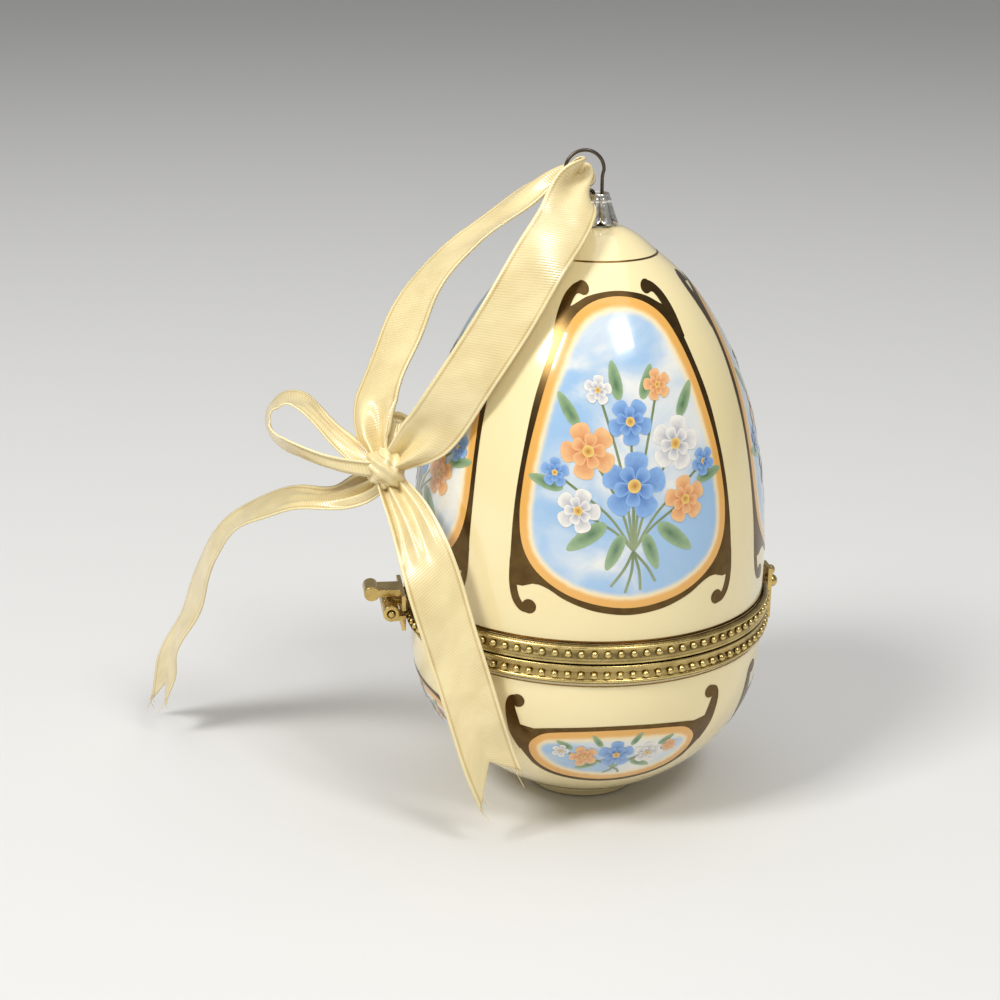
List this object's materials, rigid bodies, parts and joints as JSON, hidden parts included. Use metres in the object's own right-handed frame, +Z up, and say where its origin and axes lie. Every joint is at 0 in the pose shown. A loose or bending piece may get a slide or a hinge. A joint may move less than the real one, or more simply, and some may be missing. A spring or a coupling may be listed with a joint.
{
  "type": "egg-shaped music box",
  "caption": "Hinged porcelain egg on a low foot with beaded brass rims, a snap clasp, a ribbon on a crowned loop and a wind-up comb movement inside.",
  "frame": {"origin": "centre of the foot's underside", "axes": "+Z up along the egg's axis, -Y the front, -X the hinge, +X the clasp"},
  "size_m": [0.1247, 0.0715, 0.125],
  "materials": {
    "porcelain": "glossy ivory glaze",
    "brass": "antiqued, polished on the beads",
    "steel": "brushed",
    "silver": "polished silver plate",
    "wire": "dark drawn wire",
    "satin": "pale gold satin ribbon",
    "plastic": "satin ivory"
  },
  "bodies": {
    "base": {"base_shell": "porcelain", "base_rim": "brass", "base_hinge_leaf": "brass", "hinge_pin": "brass", "clasp_keeper": "brass", "cover_plate": "plastic", "bedplate": "steel", "comb": "steel", "comb_screw_1": "steel", "comb_screw_2": "steel", "movement_spacer_1": "brass", "movement_spacer_2": "brass", "movement_spacer_3": "brass", "movement_screw_1": "steel", "movement_screw_2": "steel", "movement_screw_3": "steel", "cylinder_bracket_left": "steel", "cylinder_bracket_right": "steel", "idler_bracket": "steel", "governor_bracket": "steel", "click_pawl": "steel"},
    "lid": {"lid_shell": "porcelain", "lid_rim": "brass", "lid_hinge_leaf": "brass", "lid_clasp": "brass", "stop_tab": "brass", "hanger_cap": "silver", "hanger_loop": "wire"},
    "ribbon": {"ribbon_loop": "satin", "ribbon_knot": "satin", "ribbon_bow_left": "satin", "ribbon_bow_right": "satin", "ribbon_tail_left": "satin", "ribbon_tail_right": "satin"},
    "key": {"winding_key": "brass", "winding_arbor": "steel", "ratchet_wheel": "steel"},
    "barrel": {"spring_barrel": "brass", "mainspring": "steel"},
    "cylinder": {"music_cylinder": "brass", "cylinder_arbor": "steel", "cylinder_pinion": "brass", "cylinder_gear": "brass"},
    "idler": {"idler_arbor": "steel", "idler_pinion": "brass", "worm_wheel": "brass"},
    "governor": {"governor_worm": "steel", "governor_fan": "plastic"},
    "stop": {"stop_pin": "steel"}
  },
  "joints": [
    {"name": "lid_hinge", "type": "hinge", "parent": "base", "child": "lid", "pos_m": [-0.0386, 0, 0.038], "axis": [0, -1, 0], "range_deg": [0, 100]},
    {"name": "ribbon_swing", "type": "hinge", "parent": "lid", "child": "ribbon", "pos_m": [-0.0026, 0, 0.1211], "axis": [0, -1, 0], "range_deg": [-100, 0]},
    {"name": "key_turn", "type": "hinge", "parent": "base", "child": "key", "pos_m": [-0.011, 0, 0.04], "axis": [0, 0, 1], "continuous": true},
    {"name": "cylinder_spin", "type": "hinge", "parent": "base", "child": "cylinder", "pos_m": [0.01, 0, 0.02058], "axis": [1, 0, 0], "continuous": true},
    {"name": "barrel_spin", "type": "hinge", "parent": "base", "child": "barrel", "pos_m": [-0.011, 0, 0.028], "axis": [0, 0, 1], "continuous": true},
    {"name": "idler_spin", "type": "hinge", "parent": "base", "child": "idler", "pos_m": [0.014, -0.0096, 0.02058], "axis": [1, 0, 0], "continuous": true},
    {"name": "governor_spin", "type": "hinge", "parent": "base", "child": "governor", "pos_m": [0.011, -0.015, 0.022], "axis": [0, 0, 1], "continuous": true},
    {"name": "stop_slide", "type": "slide", "parent": "base", "child": "stop", "axis": [0, 0, 1], "range_m": [0, 0.002]}
  ],
  "couplings": [
    {"joint": "ribbon_swing", "follows": "lid_hinge", "ratio": -1},
    {"joint": "stop_slide", "follows": "lid_hinge", "m_per_rad": 0.0011459},
    {"joint": "barrel_spin", "follows": "cylinder_spin", "ratio": -0.33333},
    {"joint": "idler_spin", "follows": "cylinder_spin", "ratio": -3},
    {"joint": "governor_spin", "follows": "cylinder_spin", "ratio": -24}
  ]
}
